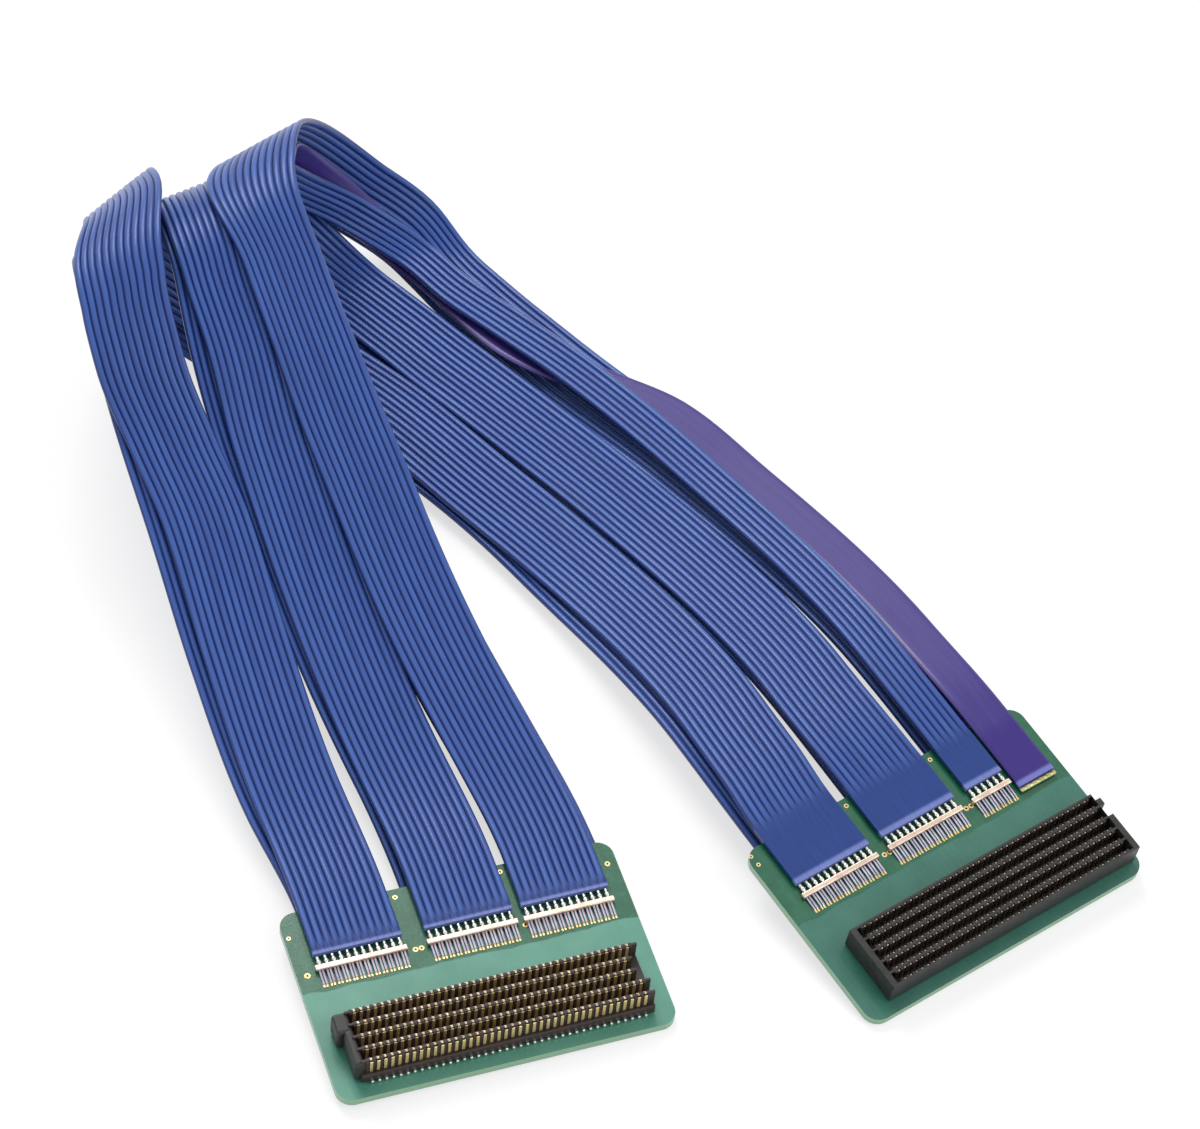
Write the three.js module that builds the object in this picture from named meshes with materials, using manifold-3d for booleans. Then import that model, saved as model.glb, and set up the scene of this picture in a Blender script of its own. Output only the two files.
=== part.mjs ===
// A flat ribbon cable assembly, folded over once and lying on a table: seven flat
// ribbons join two small circuit boards, each with a 40 by 10 way board connector.
// Millimetres, +Z up. It rests on z = 0, with x and y zero midway between the boards.
import * as THREE from 'three';
import { mergeVertices } from 'three/addons/utils/BufferGeometryUtils.js';
import Module from 'manifold-3d';

const wasm = await Module();
wasm.setup();

// Circuit boards
const boardWidth = 61.5;
const boardDepth = 39.6;
const boardThickness = 1.6;
const boardCornerRadius = 3;
const seatGap = 0.3; // left between two pieces that touch

// Flat ribbons
const corePitch = 1.35;
const wideCores = 12;
const narrowCores = 6;
const jacketThickness = 1.3;
const edgeRound = 0.35;
const filmWidth = 8; // the smooth ribbon has no cores to see
const jacketReach = 10.2; // over a board, from its back edge
const filmReach = 14.6;

// Ground bars, soldered to the boards in front of the ribbons
const barReach = 12.2; // from a board's back edge to the bar
const barDepth = 1.1;
const barHeight = 0.9;
const barOverhang = 0.3; // past the cores at each end
const toothLength = 0.8; // of the solder over each core's drain wire
const toothWidth = 0.7;
const solderHeight = 0.6; // of the strip that holds the smooth ribbon
const solderDepth = 0.9;

// Board connectors
const contactPitch = 1.27;
const contactsPerRow = 40;
const rowPairs = 5;
const rowPairPitch = 2.54;
const connectorReach = 30.6; // from a board's back edge to the middle of the rows
const headerShift = 0.5; // of the rows' middle from the board's middle
const headerHeight = 5.2;
const headerBaseHeight = 2;
const headerBaseDepth = 12.6;
const finThickness = 0.95;
const finEndMargin = 1.8; // past the last contact
const shortFinStep = 1.7; // by which the second and third fins end earlier
const endWallThickness = 1.7;
const endWallStep = 1.2; // by which the wall's back half is thicker
const endWallLap = 0.6; // of the wall over the ends of the fins
const endWallDrop = 0.3; // of its top under the fins' tops
const contactWidth = 0.55;
const contactHeight = 2.3;
const contactProud = 0.15; // of the front fin
const contactDepth = 0.35;
const contactRise = 0.5; // over the base
const socketShift = 2;
const socketLength = 55.4;
const socketDepth = 13.2;
const socketHeight = 4.9;
const slotWidth = 1.4;
const slotDepth = 3.4;
const keyWidth = 2.4;
const keyDepth = 1.1;
const cutPast = 1; // a cut runs this far past the face it opens

// The cable's way. Laid out flat, "along" runs from the left board's back edge to the
// right board's, and the flat sheet is then folded over an axis on the table.
const cableLength = 353.6;
const foldAxisAngle = 35.7; // on the table, from +X
const boardBend = 25; // length of the small sideways bend behind each board
const heading = [
  // along, then the angle to the fold axis in degrees
  [0, 75.4],
  [boardBend, 80.5],
  [170, 68.4],
  [204, 68.4],
  [cableLength - boardBend, 92.4],
  [cableLength, 87.7],
];
const leftPitch = 3.6; // the left board leans on its front edge
const climb = 20.1; // slope of the upper leg before the fold
const climbStart = 10; // distances from the left board, square to the fold axis
const climbFull = 73;
const foldStart = 129;
const rightPitch = 9.4; // the right board leans on its front edge too
const humpLength = 81.6; // over which the lower leg rises to the right board

// Heights of the ribbons' middles from the middle of the sheet
const onBoard = boardThickness / 2 + seatGap + jacketThickness / 2;
const inBundle = seatGap + jacketThickness / 2;
const overOther = inBundle + jacketThickness + seatGap;
const plainStack = [
  [0, onBoard],
  [boardBend, inBundle],
  [cableLength - boardBend, inBundle],
  [cableLength, onBoard],
];
const tableGap = 0.25; // under the lowest ribbon
const legLevel = overOther + jacketThickness / 2 + tableGap; // of the lower leg's middle

// Steps in which the curved pieces are drawn
const tracedStep = 0.5;
const frameReach = 0.4; // to each side, for a direction on the sheet
const legStation = 10; // between a ribbon's cross-sections
const foldStation = 4;
const foldMargins = [5, 45]; // of the close cross-sections before and after the fold

// Round the fold each stack of ribbons swings out from the sheet by its own loop. It has
// [along, across] points of its middle and [along, lift of the left edge, of the right edge]
const wideWidth = wideCores * corePitch;
const leftLoop = {
  middle: [[92, -19.8], [112, -23.8], [128, -24.2], [142, -18.4], [160, -18.8], [196, -17]],
  edges: [[92, 0, 0], [104, 0.9, 2.4], [118, 3.4, 8.0], [132, 5.0, 10.8], [146, 4.6, 10.0],
    [160, 2.6, 6.6], [176, 0.6, 2.6], [196, 0, 0]],
};
const innerLoop = {
  middle: [[92, -20.5], [112, -22], [128, -21.5], [142, -20], [160, -17], [196, -12]],
  edges: [[92, 0, 0], [112, 0.5, 1.6], [128, 0.8, 2.6], [142, 0.8, 2.6], [156, 0.6, 2.0],
    [172, 0.3, 0.9], [194, 0, 0]],
};
const middleLoop = {
  middle: [[92, -1.4], [112, -2.2], [128, -4.0], [142, -4.2], [156, -3.4], [196, 1]],
  edges: [[92, 0, 0], [112, 2.0, 2.0], [128, 3.0, 3.0], [142, 3.2, 3.0], [156, 2.4, 2.4],
    [172, 1.1, 1.1], [194, 0, 0]],
};
const rightLoop = {
  middle: [[92, 11.8], [112, 9.5], [128, 7.2], [142, 5.0], [156, 10.4], [170, 17], [184, 22.7],
    [198, 27]],
  edges: [[92, 0, 0], [112, 2.0, 0.4], [128, 3.0, 0.9], [142, 3.0, 3.2], [156, 2.4, 5.0],
    [172, 1.1, 2.6], [184, 0.3, 0.7], [198, 0, 0]],
};

// Each ribbon lies near its lane, and its own way says how far off: [along, across] points
const rightLane = wideWidth / 2; // at the edge of the middle ribbons
const ribbons = [
  {
    name: 'outer_ribbon_left',
    side: 1,
    cores: wideCores,
    width: wideWidth,
    reach: jacketReach,
    lane: -wideWidth,
    way: [[0, -2.7], [25, -2.8], [55, -1.8], [80, -1.8], [96, -4.2], [112, -7.6], [128, -8.0],
      [142, -2.2], [160, -2.6], [195, -0.6], [225, 0.6], [250, 0.2], [288, -1.4], [cableLength, -2.7]],
    stack: plainStack,
    loop: leftLoop,
  },
  {
    name: 'outer_ribbon_middle',
    side: 1,
    cores: wideCores,
    width: wideWidth,
    reach: jacketReach,
    lane: 0,
    way: [[0, 1.4], [25, 0.8], [55, 0.1], [80, -0.8], [96, -1.6], [112, -2.2], [128, -4.0], [142, -4.2],
      [156, -3.4], [175, -0.6], [195, 1.2], [225, 2.6], [250, 1.8], [288, 1.4], [cableLength, 1.4]],
    stack: plainStack,
    loop: middleLoop,
  },
  {
    name: 'outer_ribbon_right',
    side: 1,
    cores: wideCores,
    width: wideWidth,
    reach: jacketReach,
    lane: wideWidth,
    way: [[0, 3], [25, 1.4], [55, -0.8], [80, -2.8], [96, -4.6], [112, -6.7], [128, -9.0], [142, -11.2],
      [156, -5.8], [170, 0.8], [184, 6.5], [198, 10.8], [212, 7.2], [226, 4.5], [250, 2.4], [288, 2.8],
      [cableLength, 3.3]],
    stack: [[0, onBoard], [12, onBoard], [35, overOther], [235, overOther], [270, inBundle],
      [cableLength - boardBend, inBundle], [cableLength, onBoard]],
    loop: rightLoop,
  },
  {
    name: 'inner_ribbon_left',
    side: -1,
    cores: wideCores,
    width: wideWidth,
    reach: jacketReach,
    lane: -wideWidth,
    way: [[0, -2.3], [25, -4.4], [55, -4.2], [80, -4.4], [110, -6.2], [130, -6.8], [145, -5.6],
      [160, -2.0], [185, 3.7], [215, 3.4], [250, 0.8], [284, 1], [317, 0.3], [340, -1],
      [cableLength, -2.3]],
    stack: plainStack,
    loop: innerLoop,
  },
  {
    name: 'inner_ribbon_middle',
    side: -1,
    cores: wideCores,
    width: wideWidth,
    reach: jacketReach,
    lane: 0,
    way: [[0, 0.6], [25, 0], [55, -1.5], [80, -2.8], [110, -5.0], [130, -5.2], [142, -5.0], [156, -1.4],
      [168, 3.2], [180, 6.2], [195, 6.8], [210, 4.8], [225, 2.8], [250, 1.6], [284, 1.9], [317, 1.5],
      [cableLength, 0.6]],
    stack: plainStack,
    loop: middleLoop,
  },
  {
    name: 'smooth_ribbon',
    side: -1,
    cores: 0,
    width: filmWidth,
    reach: filmReach,
    lane: rightLane,
    way: [[0, 8.1], [25, 6.5], [55, 3.9], [80, 3.4], [100, 3.0], [120, 1.8], [140, 0.2], [155, 4.4],
      [170, 8.6], [185, 12.2], [200, 12.9], [214, 10.2], [227, 7.8], [236, 8.4], [247, 11.5],
      [262, 16.1], [284, 16.3], [cableLength, 16.3]],
    stack: plainStack,
    loop: rightLoop,
  },
  {
    name: 'narrow_ribbon',
    side: -1,
    cores: narrowCores,
    width: narrowCores * corePitch,
    reach: jacketReach,
    lane: rightLane,
    way: [[0, 16.8], [25, 15.1], [55, 12.9], [80, 8.6], [100, 4.6], [120, 1.0], [140, -0.8], [155, 1.4],
      [170, 5.4], [185, 10.8], [200, 13.0], [214, 10.3], [227, 9.6], [240, 9.5], [258, 9.1], [284, 8.5],
      [318, 7.8], [cableLength, 7.5]],
    // it crosses over the smooth ribbon on the lower leg
    stack: [[0, onBoard], [boardBend, inBundle], [32, inBundle], [54, overOther], [318, overOther],
      [cableLength, onBoard]],
    loop: rightLoop,
  },
];

// Finishes
const boardGreen = new THREE.MeshStandardMaterial({ color: 0x2f8a6c, roughness: 0.45, metalness: 0 });
const housingBlack = new THREE.MeshStandardMaterial({ color: 0x2a2422, roughness: 0.5, metalness: 0 });
const jacketBlue = new THREE.MeshStandardMaterial({ color: 0x3c5aa6, roughness: 0.4, metalness: 0 });
const filmPurple = new THREE.MeshStandardMaterial({ color: 0x5a3fa0, roughness: 0.35, metalness: 0 });
const solderSilver = new THREE.MeshStandardMaterial({ color: 0xc9bda8, roughness: 0.35, metalness: 1 });

const radians = THREE.MathUtils.degToRad;

// Straight lines between [place, value] knots, level past the ends
function between(knots, place) {
  if (place <= knots[0][0]) return knots[0][1];
  for (let i = 1; i < knots.length; i++) {
    const [from, start] = knots[i - 1];
    const [to, end] = knots[i];
    if (place <= to) return THREE.MathUtils.mapLinear(place, from, to, start, end);
  }
  return knots[knots.length - 1][1];
}

// A smooth line through the knots, level past the ends
function smoothly(knots, place) {
  const last = knots.length - 1;
  if (place <= knots[0][0]) return knots[0][1];
  if (place >= knots[last][0]) return knots[last][1];
  const slopeAt = (i) => {
    if (i === 0 || i === last) return 0;
    return (knots[i + 1][1] - knots[i - 1][1]) / (knots[i + 1][0] - knots[i - 1][0]);
  };
  let i = 0;
  while (place > knots[i + 1][0]) i++;
  const span = knots[i + 1][0] - knots[i][0];
  const u = (place - knots[i][0]) / span;
  const fromStart = (1 + 2 * u) * (1 - u) ** 2 * knots[i][1] + u * (1 - u) ** 2 * span * slopeAt(i);
  const fromEnd = u ** 2 * (3 - 2 * u) * knots[i + 1][1] - u ** 2 * (1 - u) * span * slopeAt(i + 1);
  return fromStart + fromEnd;
}

// Adds up small steps in the direction angleAt(place), from zero at place zero
function traced(angleAt, final) {
  const points = [];
  let x = 0;
  let y = 0;
  for (let place = 0; place <= final + tracedStep; place += tracedStep) {
    points.push([place, x, y]);
    const angle = angleAt(place + tracedStep / 2);
    x += tracedStep * Math.cos(angle);
    y += tracedStep * Math.sin(angle);
  }
  const startAngle = angleAt(0);
  return (place) => {
    if (place < 0) return [place * Math.cos(startAngle), place * Math.sin(startAngle)];
    const i = Math.min(Math.floor(place / tracedStep), points.length - 2);
    const [from, x0, y0] = points[i];
    const [, x1, y1] = points[i + 1];
    const u = (place - from) / tracedStep;
    return [x0 + (x1 - x0) * u, y0 + (y1 - y0) * u];
  };
}

const headingAt = (along) => radians(between(heading, along));
const spine = traced(headingAt, cableLength + boardDepth);

// The sheet's section square to the fold axis, first up to the fold, then with the fold
const legSlope = [[climbStart, leftPitch], [climbFull, climb], [foldStart, climb]];
const legSection = traced((t) => radians(between(legSlope, t)), foldStart);
const boardCorners = [-1, 1].map((end) => [-boardDepth, (end * boardWidth) / 2]);
const cornerHeights = boardCorners.map(([along, across]) => {
  const t = spine(along)[1] - across * Math.cos(headingAt(along));
  return legSection(Math.min(t, 0))[1];
});
const baseHeight = (boardThickness / 2) * Math.cos(radians(leftPitch)) - Math.min(...cornerHeights);
const foldHeight = baseHeight + legSection(foldStart)[1] - legLevel;
const foldRadius = foldHeight / (1 + Math.cos(radians(climb)));
const foldEnd = foldStart + foldRadius * radians(climb + 180);
const fullSlope = [...legSlope, [foldEnd, -180]];
const section = traced((t) => radians(between(fullSlope, t)), foldEnd + cableLength);

// How far the lower leg is lifted over the table on its way to the right board
const rightBackHeight = boardDepth * Math.sin(radians(rightPitch))
  + (boardThickness / 2) * Math.cos(radians(rightPitch));
function hump(along) {
  const back = cableLength - along;
  const rise = rightBackHeight - legLevel;
  const slope = Math.tan(radians(rightPitch));
  if (back <= 0) return rise + slope * back;
  if (back >= humpLength) return 0;
  const u = back / humpLength;
  return rise * (1 - 3 * u ** 2 + 2 * u ** 3) + slope * humpLength * (u - 2 * u ** 2 + u ** 3);
}

const upward = new THREE.Vector3(0, 0, 1);
const axisDirection = new THREE.Vector3(1, 0, 0).applyAxisAngle(upward, radians(foldAxisAngle));
const outDirection = new THREE.Vector3().crossVectors(upward, axisDirection);

// A point on the sheet's middle surface
function sheetPoint(along, across) {
  const [a, t] = spine(along);
  const angle = headingAt(along);
  const [out, up] = section(t - across * Math.cos(angle));
  return upward.clone().multiplyScalar(baseHeight + up + hump(along))
    .addScaledVector(axisDirection, a + across * Math.sin(angle))
    .addScaledVector(outDirection, out);
}

// The directions across and along the sheet there, and its normal on the outer ribbons' side
function sheetFrame(along, across) {
  const point = sheetPoint(along, across);
  const acrossWay = sheetPoint(along, across + frameReach);
  acrossWay.sub(sheetPoint(along, across - frameReach)).normalize();
  const onward = sheetPoint(along + frameReach, across);
  onward.sub(sheetPoint(along - frameReach, across));
  const normal = new THREE.Vector3().crossVectors(acrossWay, onward).normalize();
  const alongWay = new THREE.Vector3().crossVectors(normal, acrossWay);
  return { point, acrossWay, alongWay, normal };
}

function loopEdges(loop, along) {
  const left = smoothly(loop.edges.map(([place, lift]) => [place, lift]), along);
  const right = smoothly(loop.edges.map(([place, , lift]) => [place, lift]), along);
  return { left, right };
}

function loopLift(loop, along, across) {
  const { left, right } = loopEdges(loop, along);
  const share = (across - smoothly(loop.middle, along)) / wideWidth + 1 / 2;
  return THREE.MathUtils.lerp(left, right, THREE.MathUtils.clamp(share, 0, 1));
}

// A leaning ribbon takes less room across the sheet
function loopNarrowing(loop, along) {
  const { left, right } = loopEdges(loop, along);
  return Math.cos(Math.atan((right - left) / wideWidth));
}

function named(name, geometry, material) {
  geometry.computeVertexNormals();
  const mesh = new THREE.Mesh(geometry, material);
  mesh.name = name;
  return mesh;
}

function box(width, depth, height, x, y, z) {
  return new THREE.BoxGeometry(width, depth, height).translate(x, y, z + height / 2);
}

function toSolid(geometry) {
  const bare = geometry.index ? geometry : geometry.clone();
  bare.deleteAttribute('normal');
  bare.deleteAttribute('uv');
  const merged = mergeVertices(bare, 1e-4);
  return new wasm.Manifold(new wasm.Mesh({
    numProp: 3,
    vertProperties: new Float32Array(merged.attributes.position.array),
    triVerts: new Uint32Array(merged.index.array),
  }));
}

function toGeometry(solid) {
  const mesh = solid.getMesh();
  const geometry = new THREE.BufferGeometry();
  geometry.setAttribute('position', new THREE.BufferAttribute(mesh.vertProperties, mesh.numProp));
  geometry.setIndex(new THREE.BufferAttribute(mesh.triVerts, 1));
  return geometry;
}

function joined(geometries) {
  return geometries.map(toSolid).reduce((whole, solid) => whole.add(solid));
}

function cut(whole, geometries) {
  return geometries.map(toSolid).reduce((rest, solid) => rest.subtract(solid), whole);
}

// A board lies with its back edge on y = 0 and its middle plane on z = 0
function board(name) {
  const half = boardWidth / 2;
  const r = boardCornerRadius;
  const outline = new THREE.Shape();
  outline.moveTo(-half + r, -boardDepth);
  outline.lineTo(half - r, -boardDepth);
  outline.absarc(half - r, -boardDepth + r, r, -Math.PI / 2, 0);
  outline.absarc(half - r, -r, r, 0, Math.PI / 2);
  outline.absarc(-half + r, -r, r, Math.PI / 2, Math.PI);
  outline.absarc(-half + r, -boardDepth + r, r, Math.PI, Math.PI * 1.5);
  const options = { depth: boardThickness, bevelEnabled: false, curveSegments: 6 };
  const plate = new THREE.ExtrudeGeometry(outline, options).translate(0, 0, -boardThickness / 2);
  return named(name, toGeometry(toSolid(plate)), boardGreen);
}

const boardTop = boardThickness / 2 + seatGap; // where a piece on the board starts

const rowLength = (contactsPerRow - 1) * contactPitch;
const finLength = rowLength + 2 * finEndMargin;
const pairY = (i) => -connectorReach + ((rowPairs - 1) / 2 - i) * rowPairPitch;

// The header's fins stand in rows on a base, open at the right and walled at the left
function header(name) {
  const left = headerShift - finLength / 2;
  const base = box(finLength, headerBaseDepth, headerBaseHeight, headerShift, -connectorReach, boardTop);
  const pieces = [base];
  for (let i = 0; i < rowPairs; i++) {
    const shorter = i === 1 || i === 2 ? shortFinStep : 0;
    const x = headerShift - shorter / 2;
    pieces.push(box(finLength - shorter, finThickness, headerHeight, x, pairY(i), boardTop));
  }
  const backY = pairY(0) + finThickness / 2;
  const frontY = pairY(rowPairs - 1) - finThickness / 2;
  const middleY = (pairY(1) + pairY(2)) / 2;
  const wallHeight = headerHeight - endWallDrop;
  const wallX = left + endWallLap;
  const thick = endWallThickness + endWallStep;
  const backHalf = box(
    thick, backY - middleY, wallHeight,
    wallX - thick / 2, (backY + middleY) / 2, boardTop,
  );
  const frontDepth = middleY + endWallLap - frontY;
  const frontHalf = box(
    endWallThickness, frontDepth, wallHeight,
    wallX - endWallThickness / 2, frontY + frontDepth / 2, boardTop,
  );
  pieces.push(backHalf, frontHalf);
  const contactY = frontY - contactProud + contactDepth / 2;
  const contactZ = boardTop + headerBaseHeight + contactRise;
  for (let i = 0; i < contactsPerRow; i++) {
    const x = headerShift - rowLength / 2 + i * contactPitch;
    pieces.push(box(contactWidth, contactDepth, contactHeight, x, contactY, contactZ));
  }
  return named(name, toGeometry(joined(pieces)), housingBlack);
}

// The socket is a block with a slot for each fin of a header, keyed at its right end
function socket(name) {
  const block = toSolid(box(socketLength, socketDepth, socketHeight, socketShift, -connectorReach, boardTop));
  const slotFloor = boardTop + socketHeight - slotDepth;
  const cuts = [];
  for (let i = 0; i < rowPairs; i++) {
    cuts.push(box(finLength, slotWidth, slotDepth + cutPast, socketShift, pairY(i), slotFloor));
  }
  const right = socketShift + socketLength / 2;
  const backCorner = pairY(0) + rowPairPitch / 2;
  for (const y of [pairY(1), backCorner]) {
    cuts.push(box(2 * keyDepth, keyWidth, socketHeight + 2 * cutPast, right, y, boardTop - cutPast));
  }
  return named(name, toGeometry(cut(block, cuts)), housingBlack);
}

// One comb, with a tooth of solder for each core on the ribbon's side
function groundBar(name, count, width) {
  const half = width / 2 + barOverhang;
  const pitch = width / count;
  const outline = new THREE.Shape();
  outline.moveTo(half, -barReach);
  for (let i = 0; i < count; i++) {
    const x = ((count - 1) / 2 - i) * pitch;
    outline.lineTo(x + toothWidth / 2, -barReach);
    outline.lineTo(x + toothWidth / 2, -barReach + toothLength);
    outline.lineTo(x - toothWidth / 2, -barReach + toothLength);
    outline.lineTo(x - toothWidth / 2, -barReach);
  }
  outline.lineTo(-half, -barReach);
  outline.lineTo(-half, -barReach - barDepth);
  outline.lineTo(half, -barReach - barDepth);
  const comb = new THREE.ExtrudeGeometry(outline, { depth: barHeight, bevelEnabled: false });
  return named(name, toGeometry(toSolid(comb.translate(0, 0, boardTop))), solderSilver);
}

// Where the ribbon is soldered across its whole width, without a comb
function solderStrip(name, width) {
  const y = -filmReach - seatGap - solderDepth / 2;
  const strip = box(width, solderDepth, solderHeight, 0, y, boardTop);
  return named(name, toGeometry(toSolid(strip)), solderSilver);
}

// Where a ribbon's cross-sections are, close together over the fold
function stationsFor(reach) {
  const stations = [];
  for (let along = -reach; along < cableLength + reach - foldStation;) {
    const atFold = along > foldStart - foldMargins[0] && along < foldEnd + foldMargins[1];
    stations.push(along);
    along += atFold ? foldStation : legStation;
  }
  return [...stations, cableLength + reach];
}

// A flat strip is extruded straight, and its points are then laid along the sheet
function ribbon({ name, side, cores, width, reach, lane, way, stack, loop }) {
  const stations = stationsFor(reach);
  const half = width / 2;
  const thin = jacketThickness / 2;
  const e = edgeRound;
  const outline = new THREE.Shape([
    new THREE.Vector2(-half, -thin + e), new THREE.Vector2(-half + e, -thin),
    new THREE.Vector2(half - e, -thin), new THREE.Vector2(half, -thin + e),
    new THREE.Vector2(half, thin - e), new THREE.Vector2(half - e, thin),
    new THREE.Vector2(-half + e, thin), new THREE.Vector2(-half, thin - e),
  ]);
  const steps = stations.length - 1;
  const strip = new THREE.ExtrudeGeometry(outline, { depth: steps, steps, bevelEnabled: false });
  strip.deleteAttribute('normal');
  strip.deleteAttribute('uv');
  const geometry = mergeVertices(strip, 1e-4);
  const places = geometry.attributes.position;
  for (let i = 0; i < places.count; i++) {
    const along = stations[Math.round(places.getZ(i))];
    const across = lane + smoothly(way, along) - places.getX(i) * loopNarrowing(loop, along);
    const { point, normal } = sheetFrame(along, across);
    const height = side * smoothly(stack, along) + loopLift(loop, along, across);
    point.addScaledVector(normal, height + places.getY(i));
    places.setXYZ(i, point.x, point.y, point.z);
  }
  return named(name, geometry, cores ? jacketBlue : filmPurple);
}

// A group whose own axes are the board's: x across, y to the back, z out of the connector's face
function boardGroup(along, facing) {
  const { point, acrossWay, alongWay, normal } = sheetFrame(along, 0);
  const group = new THREE.Group();
  group.applyMatrix4(new THREE.Matrix4()
    .makeBasis(acrossWay, alongWay.multiplyScalar(facing), normal.multiplyScalar(facing))
    .setPosition(point));
  return group;
}

function furnishedBoard(label, along, facing, connector) {
  const group = boardGroup(along, facing);
  group.add(board(`${label}_board`), connector);
  for (const { name, side, cores, width, lane, way } of ribbons) {
    const piece = cores
      ? groundBar(`${label}_bar_${name}`, cores, width)
      : solderStrip(`${label}_solder_${name}`, width);
    if (side !== facing) piece.rotation.y = Math.PI;
    piece.position.x = lane + smoothly(way, along);
    group.add(piece);
  }
  return group;
}

const assembly = new THREE.Group();
const boards = new THREE.Group();
boards.add(furnishedBoard('left', 0, 1, header('left_header')));
boards.add(furnishedBoard('right', cableLength, -1, socket('right_socket')));
boards.updateMatrixWorld(true);
const boardsMiddle = new THREE.Box3().setFromObject(boards, true).getCenter(new THREE.Vector3());
assembly.add(boards);
for (const one of ribbons) assembly.add(ribbon(one));
assembly.position.set(-boardsMiddle.x, -boardsMiddle.y, 0);

export default assembly;
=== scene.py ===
# A flat ribbon cable assembly, folded over once and lying on a pale table
import math
import random

import bmesh
import bpy
import numpy as np
from mathutils import Matrix, Vector


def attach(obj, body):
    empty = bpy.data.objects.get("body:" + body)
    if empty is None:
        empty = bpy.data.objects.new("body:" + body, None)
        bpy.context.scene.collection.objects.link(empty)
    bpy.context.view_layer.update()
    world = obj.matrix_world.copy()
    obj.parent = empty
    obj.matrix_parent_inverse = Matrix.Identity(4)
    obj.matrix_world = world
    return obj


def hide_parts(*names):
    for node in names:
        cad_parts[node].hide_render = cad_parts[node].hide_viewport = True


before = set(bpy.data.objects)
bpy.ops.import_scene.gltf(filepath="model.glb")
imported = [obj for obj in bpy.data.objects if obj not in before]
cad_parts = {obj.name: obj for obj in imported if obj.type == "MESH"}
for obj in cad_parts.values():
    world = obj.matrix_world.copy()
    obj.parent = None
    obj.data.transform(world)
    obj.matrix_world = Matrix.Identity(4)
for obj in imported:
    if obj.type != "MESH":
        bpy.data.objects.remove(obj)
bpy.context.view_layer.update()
mm = 0.001


def deselect(*chosen):
    bpy.ops.object.select_all(action="DESELECT")
    for piece in chosen:
        piece.select_set(True)
    if chosen:
        bpy.context.view_layer.objects.active = chosen[0]


deselect()

# The cable's way, as the solids have it. Lengths are in millimetres until they are used
sheet = {
    "length": 353.6,
    "axisAngle": 35.7,  # of the fold on the table, in degrees
    "heading": [(0, 75.4), (25, 80.5), (170, 68.4), (204, 68.4), (328.6, 92.4), (353.6, 87.7)],
    "leftPitch": 3.6,
    "climb": 20.1,
    "climbStart": 10,
    "climbFull": 73,
    "foldStart": 129,
    "rightPitch": 9.4,
    "humpLength": 81.6,
    "legLevel": 3.45,
    "shift": (-48.0294, 1.9388, 0),  # sets x and y zero midway between the boards
    "step": 0.5,
    "reach": 0.4,
}
board = {
    "width": 61.5,
    "depth": 39.6,
    "thickness": 1.6,
    "seat": 1.1,  # height of the solids' undersides over the board's middle
}
jacket = {
    "pitch": 1.35,
    "thick": 1.3,
    "valley": 0.27,  # half thickness between two cores
    "film": 0.46,  # half thickness where the cores have been pressed flat
    "coreHalf": 0.44,  # half width of a core, as a share of the pitch
    "coreShares": (-0.5, -0.4, -0.27, -0.1, 0.1, 0.27, 0.4),  # points across each core
    "step": 2.0,  # between cross-sections
    "wander": 0.05,
    "waveSpans": (9.0, 21.0, 4.7),
    "fade": 3.2,  # over which the ridges go flat
    "endHighlight": 1.0,  # width of the painted highlight band at a ribbon's end
    "filmPoints": 16,
    "ripple": 0.03,
}
onBoard, inBundle, overOther = 1.75, 0.95, 2.55
length = sheet["length"]
plainStack = [(0, onBoard), (25, inBundle), (length - 25, inBundle), (length, onBoard)]
wide, narrow, filmWidth = 16.2, 8.1, 8.0

# Each ribbon's middle across the sheet and its height off it, at points along it. A loop lifts
# the ribbon's left and right edge outward where it goes round the fold
leftLoop = {
    "middle": [(92, -19.8), (112, -23.8), (128, -24.2), (142, -18.4), (160, -18.8), (196, -17)],
    "edges": [(92, 0, 0), (104, 0.9, 2.4), (118, 3.4, 8.0), (132, 5.0, 10.8), (146, 4.6, 10.0),
              (160, 2.6, 6.6), (176, 0.6, 2.6), (196, 0, 0)],
}
innerLoop = {
    "middle": [(92, -20.5), (112, -22), (128, -21.5), (142, -20), (160, -17), (196, -12)],
    "edges": [(92, 0, 0), (112, 0.5, 1.6), (128, 0.8, 2.6), (142, 0.8, 2.6), (156, 0.6, 2.0),
              (172, 0.3, 0.9), (194, 0, 0)],
}
middleLoop = {
    "middle": [(92, -1.4), (112, -2.2), (128, -4.0), (142, -4.2), (156, -3.4), (196, 1)],
    "edges": [(92, 0, 0), (112, 2.0, 2.0), (128, 3.0, 3.0), (142, 3.2, 3.0), (156, 2.4, 2.4),
              (172, 1.1, 1.1), (194, 0, 0)],
}
rightLoop = {
    "middle": [(92, 11.8), (112, 9.5), (128, 7.2), (142, 5.0), (156, 10.4), (170, 17), (184, 22.7),
               (198, 27)],
    "edges": [(92, 0, 0), (112, 2.0, 0.4), (128, 3.0, 0.9), (142, 3.0, 3.2), (156, 2.4, 5.0),
              (172, 1.1, 2.6), (184, 0.3, 0.7), (198, 0, 0)],
}
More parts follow.
